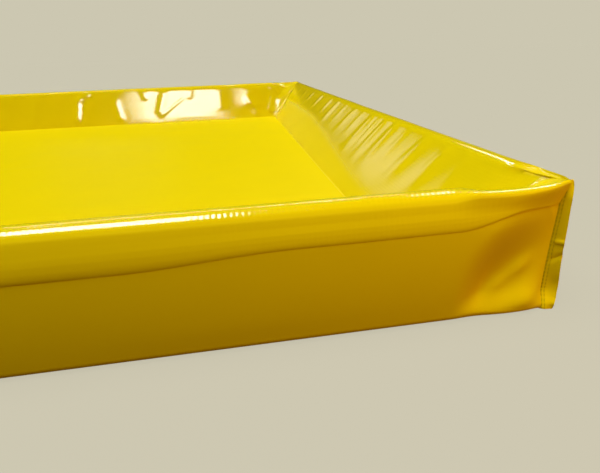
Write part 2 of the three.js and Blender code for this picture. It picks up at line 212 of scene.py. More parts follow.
class Wall:
    """One side of the tray: u along it, v inwards from its skirt, z up."""

    def __init__(self, name, turn, half, reach, foam_end, crease, flare, draw_reach):
        self.name = name
        self.turn = turn
        self.is_side = turn % 2 == 1
        self.half = half
        self.reach = reach
        self.foam_end = foam_end
        self.crease = crease
        self.flare = flare
        self.draw_reach = draw_reach

    def place(self, u, v, z):
        """Points in the tray's frame, in millimetres."""
        x, y = u, v - self.reach
        for _ in range(self.turn):
            x, y = -y, x
        return np.stack(np.broadcast_arrays(x, y, z), axis=-1).astype(float)


class Tray:
    """The sizes that follow from the scene's own settings and the solids."""

    def __init__(self, sizes, look):
        self.look = look
        self.weave_pitch = sizes.weave_pitch
        self.sheet = sizes.sheet / MM
        self.slack = sizes.slack
        self.foam_thickness = sizes.foam_thickness / MM
        sheet = self.sheet
        self.lap_offset = sheet + LAP_GAP
        self.skirt_x = LENGTH / 2 - self.lap_offset - sheet / 2
        self.skirt_y = WIDTH / 2 - self.lap_offset - sheet / 2
        self.margin_height = sheet + GAP + sheet / 2
        self.foam_outer = WALL_LEAN + sheet / 2 + GAP
        self.foam_inner = self.foam_outer + self.foam_thickness
        self.ridge_inner = self.foam_inner + ROUND_CLEARANCE + sheet / 2
        self.ridge_outer = WALL_LEAN - self.lap_offset
        self.ridge_radius = (self.ridge_inner - self.ridge_outer) / 2
        self.ridge_middle = self.ridge_outer + self.ridge_radius
        self.ridge_top = HEIGHT - sheet / 2
        self.shoulder = self.ridge_top - self.ridge_radius
        self.join_height = self.ridge_top - JOIN_DROP
        self.lap_edge = HEIGHT - LAP_DEPTH
        self.skirt_top = self.shoulder - SKIRT_DROP
        across = (self.skirt_x, self.skirt_y)
        front = (*across, FOAM_END_FRONT, CREASE_FRONT, 1, SEAM_REACH)
        side = (*across[::-1], FOAM_END_SIDE, CREASE_SIDE, SLOPE_FLARE_SIDE, SEAM_REACH_SIDE)
        names = ("front", "right", "back", "left")
        self.walls = [Wall(name, n, *(front, side)[n % 2]) for n, name in enumerate(names)]

    def leave(self, wall):
        """The angle, height and inset at which a slope leaves the round top as its tangent."""
        across, down = wall.crease - self.ridge_middle, self.shoulder - self.margin_height
        angle = math.acos(self.ridge_radius / math.hypot(across, down)) - math.atan2(down, across)
        inset = self.ridge_middle + self.ridge_radius * math.cos(angle)
        return angle, inset, self.shoulder + self.ridge_radius * math.sin(angle)

    def seam_inset(self, z):
        return lerp(SEAM_INSET_FOOT, SEAM_INSET_TOP, z / HEIGHT)

    def straight_face(self, z):
        height = np.clip(z / self.lap_edge, 0, 1)
        below = FOOT_TUCK * (1 - height) ** 2 - FACE_BULGE * np.sin(np.pi * height)
        rise = np.clip((z - self.lap_edge) / (self.shoulder - self.lap_edge), 0, 1)
        return np.where(z < self.lap_edge, below, WALL_LEAN * rise**2)

    def cave(self, wall, c, z):
        """The fold that falls in beyond the foam's end."""
        run = wall.foam_end - CAVE_NEAR
        rise = CAVE_HEAD - CAVE_FOOT
        size = math.hypot(run, rise)
        along = ((wall.foam_end - c) * run + (z - CAVE_FOOT) * rise) / size**2
        across = ((wall.foam_end - c) * rise - (z - CAVE_FOOT) * run) / size
        reach = np.where(across < 0, CAVE_REACH_ABOVE, CAVE_REACH_BELOW)
        valley = 1 - smooth(np.abs(across) / reach)
        ends = np.sqrt(np.sin(np.pi * np.clip(along, 0, 1)))
        depth = CAVE_DEPTH * valley * ends * smooth((wall.foam_end - c) / CAVE_START)
        return depth * smooth(z / CAVE_CLEAR)

    def free(self, wall, c):
        """0 where the foam stands, 1 from where the wall draws in to the seam."""
        return smooth((wall.foam_end - c) / (wall.foam_end - 2 * SEAM_REACH))

    def bend(self, wall, c):
        """Radius of the skirt's turn under the wall, tighter where no foam fills it."""
        return lerp(BEND_RADIUS, BEND_RADIUS_CORNER, self.free(wall, c))

    def face(self, wall, c, z):
        """How far in the skirt stands at distance c from the corner and height z."""
        inset = self.seam_inset(z)
        reach = lerp(SEAM_REACH_FOOT, wall.draw_reach, smooth(z / SEAM_SPREAD))
        draw = np.exp(-np.maximum(c - inset, 0) / reach) * self.free(wall, c)
        return lerp(self.straight_face(z), inset, draw) + self.cave(wall, c, z) * (1 - draw)


# Meshes


def grid_normals(grid):
    along = np.gradient(grid, axis=0)
    across = np.gradient(grid, axis=1)
    normals = np.cross(along, across)
    return normals / np.maximum(np.linalg.norm(normals, axis=-1, keepdims=True), 1e-9)


def new_object(name, data):
    thing = bpy.data.objects.new(name, data)
    bpy.context.scene.collection.objects.link(thing)
    return thing


def make_piece(name, points, faces, uv=None, sharp=55):
    """A smooth-shaded piece from points in millimetres, riding on the tray's body."""
    mesh = bpy.data.meshes.new(name)
    mesh.from_pydata((points * MM).tolist(), [], faces)
    if uv is not None:
        corner = np.empty(len(mesh.loops), dtype=np.int32)
        mesh.loops.foreach_get("vertex_index", corner)
        layer = mesh.uv_layers.new(name="fabric")
        layer.data.foreach_set("uv", (uv[corner] * MM).astype(np.float32).ravel())
    mesh.shade_smooth()
    mesh.set_sharp_from_angle(angle=math.radians(sharp))
    piece = new_object(name, mesh)
    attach(piece, "root")
    return piece


def closed_sheet(name, grid, thickness, uv):
    """A closed sheet of fabric with the grid as its middle surface."""
    rows, columns = grid.shape[:2]
    normals = grid_normals(grid)
    top = (grid + normals * thickness / 2).reshape(-1, 3)
    bottom = (grid - normals * thickness / 2).reshape(-1, 3)
    index = np.arange(rows * columns).reshape(rows, columns)
    under = index + rows * columns

    def cells(numbers):
        corners = numbers[:-1, :-1], numbers[1:, :-1], numbers[1:, 1:], numbers[:-1, 1:]
        return np.stack(corners, axis=-1).reshape(-1, 4)

    def strip(a, b):
        """Faces along one rim, between line a of one layer and line b of the other."""
        return np.stack([a[:-1], a[1:], b[1:], b[:-1]], axis=-1)

    faces = np.concatenate(
        [
            cells(index),
            cells(under)[:, [0, 3, 2, 1]],
            strip(under[:, 0], index[:, 0]),
            strip(index[:, -1], under[:, -1]),
            strip(index[0], under[0]),
            strip(under[-1], index[-1]),
        ]
    ).tolist()
    flat = uv.reshape(-1, 2)
    return make_piece(name, np.concatenate([top, bottom]), faces, np.concatenate([flat, flat]))


def mark(piece, name, share):
    """A value between 0 and 1 for each point of both layers, for the material."""
    layer = piece.data.attributes.new(name, "FLOAT", "POINT")
    layer.data.foreach_set("value", np.tile(share.ravel(), 2).astype(np.float32))


def fabric_uv(grid):
    """Distances over the fabric from the grid's middle line and first column."""
    along = np.linalg.norm(np.diff(grid, axis=0), axis=-1).mean(axis=1)
    across = np.linalg.norm(np.diff(grid, axis=1), axis=-1).mean(axis=0)
    u = np.concatenate([[0], np.cumsum(along)])
    v = np.concatenate([[0], np.cumsum(across)])
    return np.stack(np.meshgrid(u, v, indexing="ij"), axis=-1)


def bent_sheet(name, grid, thickness):
    """A closed sheet, with UVs that measure distances over the fabric."""
    piece = closed_sheet(name, grid, thickness, fabric_uv(grid))
    return piece


class Noise:
    """Smooth random waves over a plane, the same for each seed."""

    SIZE = 64

    def __init__(self, seed):
        self.lattice = np.random.default_rng(seed).uniform(-1, 1, (self.SIZE, self.SIZE))

    def at(self, x, y):
        xf, yf = np.floor(x), np.floor(y)
        tx, ty = smooth(x - xf), smooth(y - yf)
        i, j = xf.astype(int) % self.SIZE, yf.astype(int) % self.SIZE
        k, m = (i + 1) % self.SIZE, (j + 1) % self.SIZE
        g = self.lattice
        return lerp(lerp(g[i, j], g[k, j], tx), lerp(g[i, m], g[k, m], tx), ty)

    def layers(self, x, y, wave):
        """Waves of this length, with weaker ones of half the length on top."""
        total = 0
        for n in range(2):
            scale = 2**n / wave
            total = total + self.at(x * scale + 7.3 * n, y * scale + 3.1 * n) / 2**n
        return total


FOLD_TAPER = 0.25


def creases(x, y, folds):
    """Straight folds, each given by both ends, its width and its height."""
    total = np.zeros_like(x)
    for (ax, ay), (bx, by), width, tall in folds:
        dx, dy = bx - ax, by - ay
        length = math.hypot(dx, dy)
        along = ((x - ax) * dx + (y - ay) * dy) / length**2
        across = ((x - ax) * dy - (y - ay) * dx) / length
        body = np.exp(-((across / width) ** 2))
        ends = smooth(along / FOLD_TAPER), smooth((1 - along) / FOLD_TAPER)
        total += tall * (body * ends[0] * ends[1])
    return total


def row_specs(table):
    return [(kind, t) for kind, places in table for t in places]


# Covers, from the outer lap over the foam and down the slack slope to the margin under the liner

CORNER_STATIONS = 46
MIDDLE_STATIONS = 330
SEAM_GAP = math.sqrt(2) * (FIN_THICKNESS / 2 + SEAM_CLEARANCE)


def stations(wall, end):
    """Places along a wall, from one corner to the other, for a row that ends there."""
    far = max(wall.foam_end, end + SEAM_REACH)
    near = lerp(end, far, np.linspace(0, 1, CORNER_STATIONS))
    middle = np.linspace(-(wall.half - far), wall.half - far, MIDDLE_STATIONS)[1:-1]
    return np.concatenate([near - wall.half, middle, (wall.half - near)[::-1]])


def past_edge(t):
    """How far a row of the ridge lies past the round outer edge, from 0 to 1."""
    return max(t - EDGE_SHARE, 0) / (1 - EDGE_SHARE)


def round_edge(t, radius):
    """How far in and how far down a row of the ridge lies on the round outer edge."""
    turn = np.pi / 2 * min(t / EDGE_SHARE, 1)
    return radius * (1 - math.cos(turn)), radius * (1 - math.sin(turn))


def corner_join(tray, kind, t):
    """Where a row ends at the corner: distances from the front and side skirts, and height."""
    join = np.array([JOIN_FRONT, JOIN_SIDE, tray.join_height])
    crease = np.array([CREASE_FRONT, CREASE_SIDE, tray.margin_height])
    if kind == "ridge":
        inwards, down = round_edge(t, TIP_RADIUS)
        inset = TIP_INSET + inwards
        return lerp(np.array([inset, inset, tray.ridge_top - down]), join, past_edge(t))
    if kind == "slope":
        return lerp(join, crease, t)
    return crease + np.array([COVER_FLANGE * t, COVER_FLANGE * t, 0])


def cover_section(tray, wall, kind, t, c):
    """v and z of a cover's row at distance c from the corner, before it turns into the corner."""
    leave, inner, inner_height = tray.leave(wall)
    near = smooth((INNER_START - c) / INNER_REACH)
    met_height = tray.join_height if wall.is_side else inner_height - INNER_DROP
    inner_top = lerp(inner_height, met_height, near)
    if kind == "ridge":
        stretch = SIDE_STRETCH if wall.is_side else 1
        lifted = smooth((wall.foam_end + EDGE_START - c) / (EDGE_REACH * stretch))
        opened = smooth((wall.foam_end - ROUND_OVERRUN - c) / (OPENING_REACH * stretch))
        angle = lerp(np.pi - RIDGE_LEAN, leave, t)
        rounded = tray.ridge_middle + tray.ridge_radius * np.cos(angle)
        rounded_z = tray.shoulder + tray.ridge_radius * np.sin(angle)
        s = past_edge(t)
        inwards, down = round_edge(t, EDGE_RADIUS)
        folded = lerp(tray.ridge_outer + inwards, inner, s)
        fall = opened * (tray.ridge_top - inner_top) * s**FALL_POWER
        folded_z = tray.ridge_top - down - fall
        share = lerp(lifted, opened, s)
        drawn = tray.face(wall, c, tray.shoulder) - WALL_LEAN
        dip = EDGE_DIP * (1 - t) * np.sin(np.pi * np.clip(c / wall.foam_end, 0, 1))
        spread = smooth((TROUGH_START - c) / TROUGH_REACH) * smooth((c - TROUGH_END) / TROUGH_TAPER)
        depth = TROUGH_DEPTH_SIDE if wall.is_side else TROUGH_DEPTH
        trough = depth * np.sin(np.pi * s**TROUGH_SKEW) * spread
        return (
            lerp(rounded, folded, share) + drawn * (1 - t),
            lerp(rounded_z, folded_z, share) - lifted * dip - opened * trough,
        )
    flat = np.zeros_like(c)
    if kind == "slope":
        v = lerp(inner, wall.crease, t**wall.flare)
        return v + flat, lerp(inner_top, tray.margin_height, t)
    return wall.crease + COVER_FLANGE * t + flat, tray.margin_height + flat


def cover_row(tray, wall, kind, t):
    """u, v and z along one row of a cover."""
    if kind == "rise":
        below, above = cover_row(tray, wall, "lap", 1.0), cover_row(tray, wall, "ridge", 0.0)
        return [lerp(a, b, t) for a, b in zip(below, above)]
    if kind == "lap":
        base = lerp(tray.lap_edge, tray.skirt_top, t)
        end = tray.seam_inset(base) - tray.lap_offset + SEAM_GAP
        u = stations(wall, end)
        rise = LAP_RISE * tray.free(wall, wall.half - np.abs(u))
        z = base + (1 - t) * (lap_shift(wall, u) + rise)
        press = LAP_PRESS * (1 - t) ** 1.5
        return [u, tray.face(wall, wall.half - np.abs(u), z) - tray.lap_offset + press, z]
    front, side, height = corner_join(tray, kind, t)
    share = {"ridge": 1, "slope": 1 - t, "margin": 0}[kind]
    at_flank = 0 if wall.is_side else BUTT_PLY_SHARE * tray.sheet * share
    butt = BUTT_GAP / math.sqrt(2) + at_flank
    clearance = lerp(SEAM_GAP, butt, smooth(t / EDGE_SHARE)) if kind == "ridge" else butt
    along, end_v = (front, side) if wall.is_side else (side, front)
    end_c = along + clearance
    u = stations(wall, end_c)
    v, z = cover_section(tray, wall, kind, t, wall.half - np.abs(u))
    inner_share = past_edge(t) if kind == "ridge" else 1
    run = wall.foam_end - ROUND_OVERRUN - end_c
    run = max(lerp(run, min(run, JOIN_RUN), inner_share), SEAM_REACH / 2)
    turned = 1 - smooth((wall.half - np.abs(u) - end_c) / run)
    return [u, v + (end_v - v[0]) * turned, z + (height - z[0]) * turned]


def lap_shift(wall, u):
    """The lap's lower edge isn't quite level."""
    if wall.name == "front":
        step = LAP_STEP * smooth((u - LAP_STEP_START) / LAP_STEP_RUN)
        return step - 0.6 + 0.5 * np.sin(u / 90)
    return 0.8 * np.sin(u / 130 + wall.turn)


COVER_ROWS = (
    ("lap", np.linspace(0, 1, 9)),
    ("rise", (0.25, 0.5, 0.75)),
    ("ridge", np.linspace(0, 1, 25)),
    ("slope", np.linspace(0, 1, 41)[1:]),
    ("margin", (0.25, 0.6, 1.0)),
)
UPPER_ROW = 20  # one of the ridge, where a cover faces up


# The folds of an inner side fade at its top and foot, and towards the corners
FOLD_FADE = 14
FOLD_FOOT = 3
FOLD_END = 26
FOLD_END_FADE = 40
GATHER_HEIGHT = 0.7


def slope_folds(tray, wall, u, drop):
    """Height of the folds in a slack inner side. drop is the distance below the wall's top."""
    noise = Noise(SLOPE_SEED + wall.turn)
    body = smooth(drop / FOLD_FADE) * smooth((HEIGHT - FOLD_FOOT - drop) / FOLD_FADE)
    calm = smooth((wall.half - np.abs(u) - FOLD_END) / FOLD_END_FADE)
    total = 0.5 * noise.layers(u, drop * 1.6, wave=150) * body
    if wall.name == "right":
        total = total + right_folds(u, drop) * body
    elif wall.name == "back":
        total = total + back_folds(-u, drop) * body
    else:
        total = total + gathers(u, drop, GATHER_SEED + wall.turn) * body
    return tray.slack * total * calm


def gather(u, drop, fold, shape):
    """One slanting fold. It widens on its way down, and fades over the last part of its reach."""
    place, lean, width, tall, reach = fold
    narrow, widening, whole = shape
    across = (u - place - lean * drop) / (width * (narrow + drop / widening))
    fade = smooth((drop - whole * reach) / ((1 - whole) * reach))
    return tall * np.exp(-(across**2)) * (1 - fade)


GATHER_SHAPE = (0.6, 70, 0.4)
GATHERS_END = 540


def gathers(u, drop, seed):
    """Slanting gathers that start under the ridge and fade towards the floor."""
    random = np.random.default_rng(seed)
    total = np.zeros_like(u)
    place = -GATHERS_END
    while place < GATHERS_END:
        lean = random.uniform(-0.9, 0.9)
        width = random.uniform(9, 22)
        reach = random.uniform(45, 85)
        tall = random.uniform(0.4, 1.0) * GATHER_HEIGHT
        total += gather(u, drop, (place, lean, width, tall, reach), GATHER_SHAPE)
        place += random.uniform(38, 95)
    return total


RIGHT_SHAPE = (0.65, 80, 0.35)


def right_folds(y, drop):
    """The photographed gathers of the right side: they run down towards the back."""
    # place, lean, width, height, reach
    folds = (
        (420, 0.8, 14, 0.7, 56),
        (330, 1.0, 14, 0.8, 56),
        (240, 1.3, 12, 1.0, 60),
        (142, 1.35, 10, 1.5, 60),
        (55, 1.1, 9, 1.0, 46),
        (-1, 0.95, 10, 1.5, 66),
        (-60, 1.0, 9, 0.6, 50),
        (-122, 1.05, 9, 1.3, 54),
        (-165, 0.8, 8, 0.8, 50),
        (-210, 0.65, 11, 1.5, 80),
        (-240, 0.6, 7, 0.7, 60),
        (-265, 0.6, 9, 1.2, 74),
        (-305, 0.55, 12, 1.6, 76),
        (-345, 0.5, 9, 0.7, 60),
        (-401, 0.6, 13, 1.7, 78),
        (-452, 0.5, 12, 1.4, 72),
        (-492, 0.3, 12, 0.6, 60),
    )
    total = np.zeros_like(y)
    for fold in folds:
        total += gather(y, drop, fold, RIGHT_SHAPE)
    return total


BACK_FOLDS_TOP = 100


def back_folds(x, drop):
    """The photographed folds of the back side: broad flat panels between narrow folds."""
    # x and z of both ends, width, height
    folds = (
        ((190, 102), (160, 12), 12, 1.7),
        ((252, 76), (160, 12), 4, 0.8),
        ((121, 104), (129, 62), 9, 1.2),
        ((264, 104), (256, 60), 11, 1.2),
        ((38, 78), (52, 4), 8, 1.7),
        ((-64, 92), (-78, 2), 9, 2.2),
        ((-30, 96), (-66, 70), 8, 1.2),
        ((-180, 98), (-194, 10), 12, 1.2),
        ((-118, 96), (-140, 6), 16, 0.8),
        ((456, 98), (452, 24), 36, 2.0),
        ((426, 74), (474, 2), 11, 1.6),
        ((350, 98), (352, 20), 18, 1.2),
        ((505, 98), (540, 60), 10, 1.5),
        ((518, 66), (500, 16), 7, 1.1),
        ((-262, 96), (-284, 6), 20, 0.9),
        ((-330, 96), (-330, 6), 24, 0.9),
        ((-420, 96), (-400, 6), 20, 1.2),
        ((-500, 96), (-470, 20), 14, 1.2),
    )
    return creases(x, BACK_FOLDS_TOP - drop, folds)


def ridge_waves(wall, u, t):
    """The foam's edge is a little uneven under the fabric."""
    noise = Noise(RIDGE_SEED + wall.turn)
    return 0.35 * noise.layers(u, np.full_like(u, 9.0 * t), wave=170)


def build_cover(tray, wall):
    specs = row_specs(COVER_ROWS)
    rows = [cover_row(tray, wall, kind, t) for kind, t in specs]
    grid = np.stack([wall.place(*row) for row in rows], axis=1)
    normals = grid_normals(grid)
    sign = np.sign(normals[len(grid) // 2, UPPER_ROW][2]) or 1
    moves = np.zeros(grid.shape[:2])
    for j, (kind, t) in enumerate(specs):
        u, _, z = rows[j]
        if kind in ("ridge", "slope"):
            share = 1 if kind == "slope" else smooth(t * 2 - 1)
            moves[:, j] += slope_folds(tray, wall, u, HEIGHT - z) * share
        if kind in ("rise", "ridge"):
            calm = smooth((wall.half - np.abs(u) - 30) / 40)
            moves[:, j] += ridge_waves(wall, u, t) * calm
    grid = grid + sign * normals * moves[..., None]
    thickness = np.full((1, len(specs), 1), tray.sheet)
    thickness[0, 0] *= LAP_EDGE_SHARE
    piece = bent_sheet(f"fabric_cover_{wall.name}", grid, thickness)
    taut = [np.sin(np.pi * t) if kind == "ridge" else 0.15 for kind, t in specs]
    mark(piece, "taut", np.broadcast_to(taut, grid.shape[:2]))
    matt = [matt_share(wall, *spec, row[0]) for spec, row in zip(specs, rows)]
    mark(piece, "matt", np.stack(matt, axis=1))
    return piece


# Where the side slopes turn dull: as a share of the slope at the front, and how much higher up
# that lies at the back
MATT_LINE = 0.78
MATT_LINE_RISE = 0.36
MATT_LINE_START = -400
MATT_LINE_RUN = 600
MATT_SOFTNESS = 0.2
MATT_SLOPE = 0.95
MATT_TROUGH = 62
MATT_TROUGH_EDGE = 14


def matt_share(wall, kind, t, u):
    """Where a cover is dull: outside, in the corner's trough and low on the side slopes."""
    if kind in ("lap", "rise"):
        return np.ones_like(u)
    if kind == "slope":
        towards_back = u if wall.name == "right" else -u
        line = MATT_LINE - MATT_LINE_RISE * smooth((towards_back - MATT_LINE_START) / MATT_LINE_RUN)
        below = smooth((t - line + MATT_SOFTNESS / 2) / MATT_SOFTNESS)
        return MATT_SLOPE * below * wall.is_side
    if kind == "margin":
        return np.zeros_like(u)
    trough = smooth((MATT_TROUGH - wall.half + np.abs(u)) / MATT_TROUGH_EDGE)
    return np.maximum(trough * smooth((t - 0.3) / 0.15), max(0.0, 1 - 8 * t))


# Skirts, from the margin under the foam round the bend and up the outer face


BULGE_WIDTH = 7.5


def corner_bulges(c, z):
    """Small bulges of the slack fabric between the fold and the foot of a corner."""
    total = np.zeros_like(c)
    # middle from the corner, height, width, bulge, lean
    for middle, height, width, tall, lean in (
        (40, 38, 9, 2.6, 0.6),
        (57, 24, 10, 2.8, 0.7),
        (33, 13, 9, 1.2, 0.1),
        (84, 5, 10, 0.7, 0.4),
    ):
        along = (c - middle) / width
        across = (z - height + lean * (c - middle)) / BULGE_WIDTH
        total += tall * np.exp(-(along**2) - across**2)
    return total


def settle_foot(tray, grid):
    """At the foot of each corner the seam leans towards the front or the back side."""
    x, y, z = grid[..., 0], grid[..., 1], grid[..., 2]
    inset_x, inset_y = tray.skirt_x - np.abs(x), tray.skirt_y - np.abs(y)
    away = (inset_x - SEAM_INSET_FOOT) ** 2 + (inset_y - SEAM_INSET_FOOT) ** 2
    near = np.exp(-away / FOOT_REACH**2) * smooth((FOOT_HEIGHT - z) / FOOT_HEIGHT)
    shift_x, shift_y = FOOT_SHIFT
    moved = x + np.sign(x) * near * shift_x, y + np.sign(y) * near * shift_y, z
    return np.stack(moved, axis=-1)


SKIRT_ROWS = (
    ("margin", np.linspace(1, 0.2, 5)),
    ("bend", np.linspace(0, 1, 9)[:-1]),
    ("face", np.linspace(0, 1, 44)),
)


def build_skirt(tray, wall):
    def section(kind, t, c):
        """v and z of one row at distance c from the corner."""
        radius = tray.bend(wall, c)
        bend_top = tray.margin_height + radius
        if kind == "face":
            z = lerp(bend_top, tray.skirt_top, t)
            return tray.face(wall, c, z), z
        angle = np.pi / 2 * t if kind == "bend" else 0.0
        margin = SKIRT_FLANGE * t if kind == "margin" else 0.0
        v = tray.face(wall, c, bend_top) + radius * (1 - math.sin(angle)) + margin
        return v, tray.margin_height + radius * (1 - math.cos(angle))

    rows = []
    for kind, t in row_specs(SKIRT_ROWS):
        inset = lerp(SEAM_INSET_FOOT, SEAM_INSET_TOP, t) if kind == "face" else SEAM_INSET_FOOT
        u = stations(wall, float(section(kind, t, inset)[0]) + SEAM_GAP)
        rows.append((u, *section(kind, t, wall.half - np.abs(u))))
    grid = np.stack([wall.place(*row) for row in rows], axis=1)
    normals = grid_normals(grid)
    outward = np.sign(normals[len(grid) // 2, -10] @ wall.place(0.0, 0.0, 0.0)) or 1
    noise = Noise(SKIRT_SEED + wall.turn)
    moves = np.zeros(grid.shape[:2])
    for j, (u, _, z) in enumerate(rows):
        top = smooth((tray.skirt_top - z) / 20)
        moves[:, j] = 0.35 * noise.layers(u, z * 1.5, wave=190) * top * smooth((z - 6) / 20)
        moves[:, j] += corner_bulges(wall.half - np.abs(u), z) * top * smooth((z - 2) / 8)
    grid = settle_foot(tray, grid + outward * normals * moves[..., None])
    piece = bent_sheet(f"fabric_skirt_{wall.name}", grid, tray.sheet)
    mark(piece, "matt", np.ones(grid.shape[:2]))
    return piece


# Flat sheets, foam, corners


def rounded_grid(half_x, half_y, radius, step):
    """x and y of a grid over a rectangle with round corners."""

    def axis(half):
        inner = np.linspace(-(half - radius), half - radius, int(2 * half / step))
        edge = np.linspace(half - radius, half, 6)[1:]
        return np.concatenate([-edge[::-1], inner, edge])

    x, y = np.meshgrid(axis(half_x), axis(half_y), indexing="ij")
    over_x = np.maximum(np.abs(x) - (half_x - radius), 0)
    over_y = np.maximum(np.abs(y) - (half_y - radius), 0)
    length = np.maximum(np.hypot(over_x, over_y), 1e-9)
    scale = np.where((over_x > 0) & (over_y > 0), np.maximum(over_x, over_y) / length, 1)
    return (
        np.sign(x) * (np.minimum(np.abs(x), half_x - radius) + over_x * scale),
        np.sign(y) * (np.minimum(np.abs(y), half_y - radius) + over_y * scale),
    )


def build_flat_sheet(tray, name, node, radius, waves):
    """A sheet that lies flat in the place of its solid."""
    low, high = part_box(node)
    half_x, half_y = (high[0] - low[0]) / 2 / MM, (high[1] - low[1]) / 2 / MM
    x, y = rounded_grid(half_x, half_y, radius, 6)
    z = (low[2] + high[2]) / 2 / MM + waves(x, y)
    grid = np.stack([x, y, z], axis=-1)
    piece = closed_sheet(name, grid, tray.sheet, grid[..., :2])
    return piece


def level(x, y):
    return np.zeros_like(x)


def liner_waves(x, y):
    """The floor liner lies almost flat, with low soft waves and a few faint folds."""
    noise = Noise(LINER_SEED)
    edge_x, edge_y = LINER_EDGE
    edge = smooth((edge_x - np.abs(x)) / LINER_CALM) * smooth((edge_y - np.abs(y)) / LINER_CALM)
    low = 0.55 * (noise.layers(x, y, wave=210) + 1)
    folds = (
        ((-330, 60), (-120, 130), 10, 0.5),
        ((-260, -40), (40, 30), 14, 0.5),
        ((-420, 250), (-180, 300), 12, 0.45),
        ((120, 380), (330, 330), 16, 0.4),
        ((-200, -180), (-10, -120), 18, 0.6),
        ((-60, 470), (60, 486), 8, 0.5),
        ((470, 505), (360, 400), 10, 0.6),
        ((480, -500), (380, -390), 12, 0.6),
        ((-480, 500), (-380, 400), 12, 0.6),
        ((-480, -500), (-380, -390), 12, 0.6),
    )
    return (low + creases(x, y, folds)) * edge


def build_foam(tray, wall):
    """A foam strip: upright, with a round top and a round outer foot."""

    def outer(z):
        return float(tray.straight_face(np.array(z))) + tray.sheet / 2 + GAP + FACET_ROOM

    radius = tray.foam_inner - tray.ridge_middle
    outer_angle = math.acos((tray.foam_outer + FACET_ROOM - tray.ridge_middle) / radius)
    foot = BEND_RADIUS - tray.sheet / 2 - GAP - 2 * FACET_ROOM
    outline = [(tray.foam_inner, tray.margin_height + tray.sheet / 2 + GAP)]
    outline += [
        (tray.ridge_middle + radius * math.cos(a), tray.shoulder + radius * math.sin(a))
        for a in np.linspace(0, outer_angle, 13)
    ]
    bend_top = tray.margin_height + BEND_RADIUS
    outline += [(outer(z), z) for z in np.linspace(tray.shoulder, bend_top, 14)]
    outline += [
        (outer(bend_top) + foot + foot * math.cos(a), bend_top + foot * math.sin(a))
        for a in np.linspace(math.pi, 1.5 * math.pi, 8)[1:]
    ]
    outline = np.array(outline)
    count = len(outline)
    along = np.linspace(-(wall.half - wall.foam_end), wall.half - wall.foam_end, 60)
    v, z = outline.T
    rings = np.stack([wall.place(np.full(count, u), v, z) for u in along])
    index = np.arange(len(along) * count).reshape(len(along), count)
    after = np.roll(index, -1, axis=1)
    sides = np.stack([index[:-1], index[1:], after[1:], after[:-1]], axis=-1)
    faces = sides.reshape(-1, 4).tolist() + [index[0].tolist(), index[-1][::-1].tolist()]
    piece = make_piece(f"foam_strip_{wall.name}", rings.reshape(-1, 3), faces, sharp=50)
    return piece


CORNERS = {
    "front_right": (1, -1),
    "back_right": (1, 1),
    "back_left": (-1, 1),
    "front_left": (-1, -1),
}


def flange_grid(tray, sign_x, sign_y, seed):
    """The upright seam flange, with the folds that a free edge gets in use."""
    t = np.linspace(0, 1, 260)[:, None]
    k = np.linspace(0, 1, 40)[None, :]
    rounding = 1 - FIN_ROUNDING * np.abs(2 * t - 1) ** FIN_SHARPNESS
    noise = Noise(seed)
    ragged = 1 + 0.03 * noise.at(t * 9, np.zeros_like(t))
    width = lerp(FIN_WIDTH_FOOT, FIN_WIDTH_TOP, t**0.75) * rounding * ragged
    out = lerp(-FIN_ROOT, width, k)
    z = lerp(GAP, HEIGHT - lerp(FIN_TOP_DROP, FIN_TIP_DROP, smooth(out / 4)), t)
    inset = tray.seam_inset(z) - out / math.sqrt(2)
    free = np.clip(out / width, 0, 1)
    shift = 6 * noise.at(np.array(3.0), np.array(4.0))
    # height, width, depth and share along the flange's width
    folds = (
        (51 + shift, 1.8, -0.9, smooth(free * 1.5)),
        (34 + shift + 7 * free, 2.6, 1.1, smooth(free * 2)),
        (19, 8, 1.5, smooth(free * 1.4) * (1.2 - 0.5 * free)),
        (5, 3, -1.6, free),
    )
    bow = 0.45 * np.sin(9 * t) * free
    for height, reach, depth, share in folds:
        bow = bow + depth * np.exp(-(((z - height) / reach) ** 2)) * share
    bow = bow + FIN_TIP_BOW * smooth((z - 88) / 12) * smooth((free - 0.3) / 0.6)
    stitches = 0
    for line in STITCH_LINES:
        holes = 0.6 + 0.4 * np.cos(2 * np.pi * z / STITCH_PITCH)
        stitches = stitches + holes * np.exp(-(((out - line) / STITCH_WIDTH) ** 2))
    bow = (bow + STITCH_DEPTH * stitches) * FIN_BOW_SHARE
    x = sign_x * (tray.skirt_x - inset + bow)
    y = sign_y * (tray.skirt_y - inset - bow)
    grid = np.stack(np.broadcast_arrays(x, y, z), axis=-1)
    return settle_foot(tray, grid), np.minimum(stitches, 1)


def build_flange(tray, name, sign_x, sign_y):
    grid, stitches = flange_grid(tray, sign_x, sign_y, FLANGE_SEED + len(name))
    piece = bent_sheet(f"seam_fin_{name}", grid, FIN_THICKNESS)
    mark(piece, "stitch", stitches)
    mark(piece, "matt", np.ones(grid.shape[:2]))
    return piece


def slope_points(tray, wall, t):
    """The first points of a cover's slope at the corner where u is greatest."""
    u, v, z = cover_row(tray, wall, "slope", t)
    c = wall.half - u
    wanted = np.linspace(c[-1], c[-1] + PATCH_REACH, 16)
    order = np.argsort(c)
    return wanted, np.interp(wanted, c[order], v[order]), np.interp(wanted, c[order], z[order])


